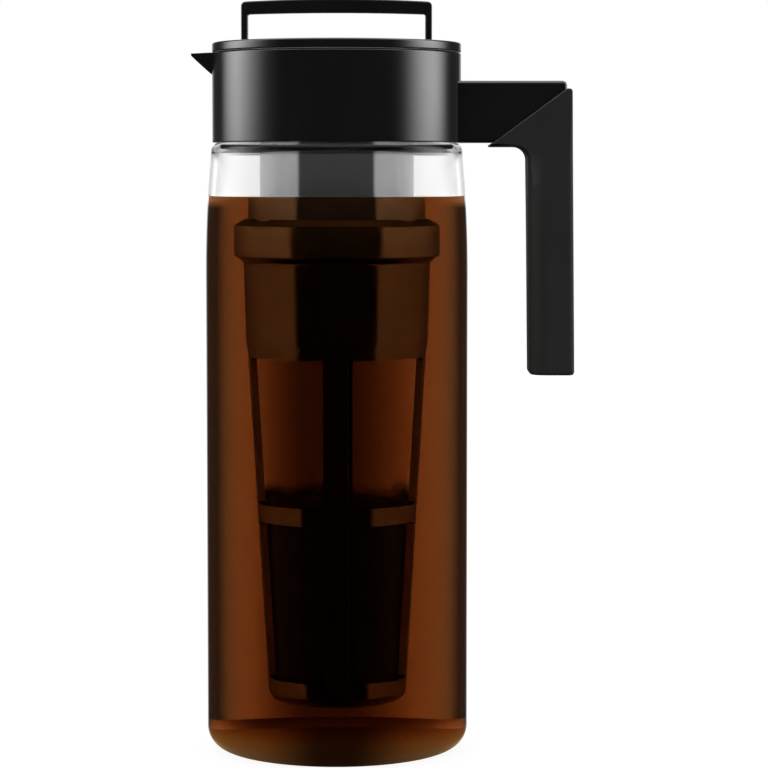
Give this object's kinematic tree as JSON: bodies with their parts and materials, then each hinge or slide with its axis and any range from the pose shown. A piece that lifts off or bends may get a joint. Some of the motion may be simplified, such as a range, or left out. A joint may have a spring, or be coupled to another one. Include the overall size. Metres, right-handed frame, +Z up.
{
  "type": "cold brew coffee maker",
  "caption": "Clear cylindrical pitcher with black spouted collar, angled side handle, quarter-turn lid with folding bail, and a hanging infuser with mesh filter basket.",
  "frame": {"origin": "on the pitcher's axis at the underside of its floor", "axes": "+Z up along the pitcher's axis; +X towards the handle, -X towards the spout; +Y away from the viewer of the pictured side"},
  "size_m": [0.1554, 0.1066, 0.306],
  "materials": {
    "clear_plastic": "polished clear",
    "gloss_black": "gloss",
    "black_plastic": "semi-gloss",
    "soft_grip": "matt soft touch",
    "silicone": "matt",
    "filter_mesh": "fine woven mesh"
  },
  "bodies": {
    "jug": {"pitcher": "clear_plastic", "neck_seal": "silicone", "collar": "gloss_black", "handle_arm": "gloss_black", "grip": "soft_grip"},
    "lid_seat": {"lid_gasket": "silicone"},
    "lid": {"lid_cap": "gloss_black", "lid_plug": "black_plastic", "rim_gasket": "silicone"},
    "bail": {"bail": "gloss_black"},
    "infuser_seat": {"infuser_seal": "silicone"},
    "infuser": {"infuser_neck": "black_plastic"},
    "basket_seat": {"basket_seal": "silicone"},
    "basket": {"coupling_ring": "black_plastic", "basket_frame": "black_plastic", "upper_mesh": "filter_mesh", "lower_mesh": "filter_mesh"}
  },
  "joints": [
    {"name": "lid_lift", "type": "slide", "parent": "jug", "child": "lid_seat", "axis": [0, 0, 1], "range_m": [0, 0.272]},
    {"name": "lid_turn", "type": "hinge", "parent": "lid_seat", "child": "lid", "pos_m": [0, 0, 0.2845], "axis": [0, 0, 1], "range_deg": [-60, 0]},
    {"name": "bail_fold", "type": "hinge", "parent": "lid", "child": "bail", "pos_m": [0, 0, 0.2864], "axis": [1, 0, 0], "range_deg": [-80, 80]},
    {"name": "infuser_drop", "type": "slide", "parent": "lid", "child": "infuser_seat", "axis": [0, 0, -1], "range_m": [0, 0.012]},
    {"name": "infuser_turn", "type": "hinge", "parent": "infuser_seat", "child": "infuser", "pos_m": [0, 0, 0.2767], "axis": [0, 0, 1], "range_deg": [0, 45]},
    {"name": "basket_drop", "type": "slide", "parent": "infuser", "child": "basket_seat", "axis": [0, 0, -1], "range_m": [0, 0.0125]},
    {"name": "basket_turn", "type": "hinge", "parent": "basket_seat", "child": "basket", "pos_m": [0, 0, 0.2072], "axis": [0, 0, 1], "range_deg": [0, 45]}
  ]
}
